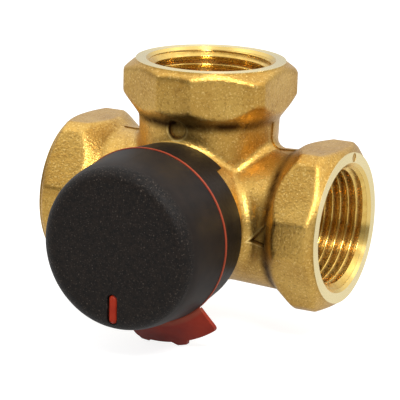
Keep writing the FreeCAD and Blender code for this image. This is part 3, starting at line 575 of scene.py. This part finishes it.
def clampRidge(mesh, size):
    # trims the ridge to the mouth's cone, and lets it run out at the inner end
    for vertex in mesh.verts:
        along = vertex.co.z / mm
        vertex.co.z = min(along, size["mouthReach"] - size["mouthGap"]) * mm
        radius = vertex.co.xy.length / mm
        coneRadius = size["mouthRadius"] - (size["mouthReach"] - along)
        fade = max(0.0, (size["fadeStart"] - along) / (size["fadeStart"] - size["innerEnd"]))
        fadeRadius = size["crestRadius"] + fade * (size["rootRadius"] - size["crestRadius"])
        lowest = max(coneRadius, fadeRadius)
        if radius > size["rootRadius"] - 0.01:
            wanted = max(radius, lowest + size["rootSkin"])
        else:
            wanted = max(radius, lowest)
        vertex.co.xy *= wanted / radius


def ridgeOutline(size):
    # radius and place along the axis, from one foot over the rounded crest to the other
    flank = math.radians(size["flankAngle"])
    flankFoot = size["rootRadius"] - size["rootRise"]
    crestEnd = size["crestRadius"] + size["crestRound"] * (1 - math.sin(flank))
    crestHalf = size["crestRound"] * math.cos(flank)
    halves = [(size["rootRadius"], size["rootHalfWidth"])]
    for step in range(size["flankSteps"]):
        radius = flankFoot + (crestEnd - flankFoot) * step / size["flankSteps"]
        halves.append((radius, crestHalf + (radius - crestEnd) * math.tan(flank)))
    for step in range(size["roundSteps"], -1, -1):
        turned = math.radians((90 - size["flankAngle"]) * step / size["roundSteps"])
        halves.append((size["crestRadius"] + size["crestRound"] * (1 - math.cos(turned)),
                       size["crestRound"] * math.sin(turned)))
    return [(radius, -half) for radius, half in halves] + halves[-2::-1]


def makeThread(name, size, turn, startAngle):
    mesh = bmesh.new()
    start = size["innerEnd"]
    corners = [mesh.verts.new((radius * mm, 0, (start + along) * mm)) for radius, along in ridgeOutline(size)]
    section = mesh.faces.new(corners)
    length = size["mouthReach"] + size["rootHalfWidth"] - start
    turns = length / size["pitch"]
    steps = round(turns * size["stepsPerTurn"])
    bmesh.ops.spin(mesh, geom=[section, *section.edges, *section.verts], cent=(0, 0, 0), axis=(0, 0, 1),
                   dvec=(0, 0, length * mm / steps), angle=math.tau * turns, steps=steps, use_duplicate=False)
    bmesh.ops.rotate(mesh, verts=mesh.verts, cent=(0, 0, 0), matrix=Matrix.Rotation(startAngle, 3, "Z"))
    clampRidge(mesh, size)
    bmesh.ops.rotate(mesh, verts=mesh.verts, cent=(0, 0, 0), matrix=turn)
    bmesh.ops.recalc_face_normals(mesh, faces=mesh.faces)
    data = bpy.data.meshes.new(name)
    mesh.to_mesh(data)
    mesh.free()
    data.materials.append(threadBrass)
    piece = bpy.data.objects.new(name, data)
    bpy.context.scene.collection.objects.link(piece)
    data.shade_smooth()
    data.set_sharp_from_angle(angle=math.radians(size["sharpAngle"]))
    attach(piece, "housing")
    return piece


portTurns = {
    "leftThread": Matrix.Rotation(math.radians(-90), 3, "Y"),
    "topThread": Matrix.Identity(3),
    "rightThread": Matrix.Rotation(math.radians(90), 3, "Y"),
}
threadStarts = {"leftThread": 0.0, "topThread": -0.93, "rightThread": 1.87}
for name, turn in portTurns.items():
    ridge = makeThread(name, thread, turn, threadStarts[name])
    print(name, "faces:", len(ridge.data.polygons))


# floor

floorLook = {"drop": 0.2 * mm, "halfSide": 1500.0 * mm, "shown": 0.86, "mirrored": 0.38, "shade": 0.36}


def makeFloor(look):
    low = cadBounds[0]
    mesh = bmesh.new()
    bmesh.ops.create_grid(mesh, x_segments=2, y_segments=2, size=look["halfSide"],
                          matrix=Matrix.Translation((0, 0, low.z - look["drop"])))
    data = bpy.data.meshes.new("studioFloor")
    mesh.to_mesh(data)
    mesh.free()
    floor = bpy.data.objects.new("studioFloor", data)
    bpy.context.scene.collection.objects.link(floor)

    material = bpy.data.materials.new("studioWhite")
    material.use_nodes = True
    tree = material.node_tree
    tree.nodes.clear()
    output = tree.nodes.new("ShaderNodeOutputMaterial")
    paths = tree.nodes.new("ShaderNodeLightPath")
    diffuse = tree.nodes.new("ShaderNodeBsdfDiffuse")
    diffuse.inputs["Color"].default_value = (look["shade"],) * 3 + (1.0,)
    glow = tree.nodes.new("ShaderNodeEmission")
    seen = addProduct(tree, paths.outputs["Is Camera Ray"], look["shown"])
    mirrored = addProduct(tree, paths.outputs["Is Glossy Ray"], look["mirrored"])
    tree.links.new(addMath(tree, "ADD", seen, mirrored), glow.inputs["Strength"])
    both = tree.nodes.new("ShaderNodeAddShader")
    tree.links.new(diffuse.outputs["BSDF"], both.inputs[0])
    tree.links.new(glow.outputs["Emission"], both.inputs[1])
    tree.links.new(both.outputs["Shader"], output.inputs["Surface"])
    data.materials.append(material)


makeFloor(floorLook)
print("floor made")


# light

worldLook = {
    "front": 0.05, "back": 0.80, "frontEnd": -0.9, "backStart": 0.3,
    "above": 1.0, "lowEnd": 0.05, "highStart": 0.85,
}
softboxes = {                  # degrees from the front to the right and up, then metres and watts
    "keySoftbox": {"azimuth": 39, "elevation": 43, "distance": 1.2,
                   "width": 0.26, "height": 0.22, "power": 8.6},
    "leftSoftbox": {"azimuth": -60, "elevation": 50, "distance": 1.4,
                    "width": 0.7, "height": 0.9, "power": 1.6},
    "rightSoftbox": {"azimuth": 110, "elevation": 40, "distance": 1.4,
                     "width": 0.6, "height": 0.9, "power": 1.6},
}


def makeWorld(look):
    world = bpy.data.worlds.new("studioWorld")
    world.use_nodes = True
    tree = world.node_tree
    tree.nodes.clear()
    output = tree.nodes.new("ShaderNodeOutputWorld")
    light = tree.nodes.new("ShaderNodeBackground")
    white = tree.nodes.new("ShaderNodeBackground")
    mix = tree.nodes.new("ShaderNodeMixShader")
    paths = tree.nodes.new("ShaderNodeLightPath")
    coords = tree.nodes.new("ShaderNodeTexCoord")
    _, y, z = splitVector(tree, coords.outputs["Generated"])
    around = addRange(tree, y, look["frontEnd"], look["backStart"], look["front"], look["back"], True)
    above = addRange(tree, z, look["lowEnd"], look["highStart"], 0.0, look["above"], True)
    tree.links.new(addMath(tree, "ADD", around, above), light.inputs["Strength"])
    tree.links.new(paths.outputs["Is Camera Ray"], mix.inputs["Fac"])
    tree.links.new(light.outputs["Background"], mix.inputs[1])
    tree.links.new(white.outputs["Background"], mix.inputs[2])
    tree.links.new(mix.outputs["Shader"], output.inputs["Surface"])
    bpy.context.scene.world = world


def addSoftbox(name, look):
    light = bpy.data.lights.new(name, "AREA")
    light.shape = "RECTANGLE"
    light.size = look["width"]
    light.size_y = look["height"]
    light.energy = look["power"]
    lamp = bpy.data.objects.new(name, light)
    turn = math.radians(look["azimuth"])
    tilt = math.radians(look["elevation"])
    back = Vector((math.sin(turn) * math.cos(tilt), -math.cos(turn) * math.cos(tilt), math.sin(tilt)))
    lamp.location = back * look["distance"]
    lamp.rotation_euler = back.to_track_quat("Z", "Y").to_euler()
    bpy.context.scene.collection.objects.link(lamp)


makeWorld(worldLook)
for name, look in softboxes.items():
    addSoftbox(name, look)
print("lamps:", len(softboxes))


# camera, at the photograph's angle

view = {
    "azimuth": 26.798,
    "elevation": 14.712,
    "roll": 1.557,
    "distance": 604.4 * mm,
    "moveRight": -1.892 * mm,
    "moveUp": 1.736 * mm,
    "lens": 199.755,           # millimetres, as the sensor below
    "sensor": 36,
    "nearest": 0.05,
    "furthest": 20,
}


def makeCamera(look):
    camera = bpy.data.cameras.new("photoCamera")
    camera.sensor_width = look["sensor"]
    camera.lens = look["lens"]
    camera.clip_start = look["nearest"]
    camera.clip_end = look["furthest"]
    stand = bpy.data.objects.new("photoCamera", camera)
    turn = (Matrix.Rotation(math.radians(look["azimuth"]), 4, "Z")
            @ Matrix.Rotation(math.radians(90 - look["elevation"]), 4, "X")
            @ Matrix.Rotation(math.radians(look["roll"]), 4, "Z"))
    offset = Vector((look["moveRight"], look["moveUp"], look["distance"]))
    stand.matrix_world = Matrix.Translation(turn.to_3x3() @ offset) @ turn
    bpy.context.scene.collection.objects.link(stand)
    bpy.context.scene.camera = stand


makeCamera(view)
bpy.context.scene.view_settings.view_transform = "Standard"
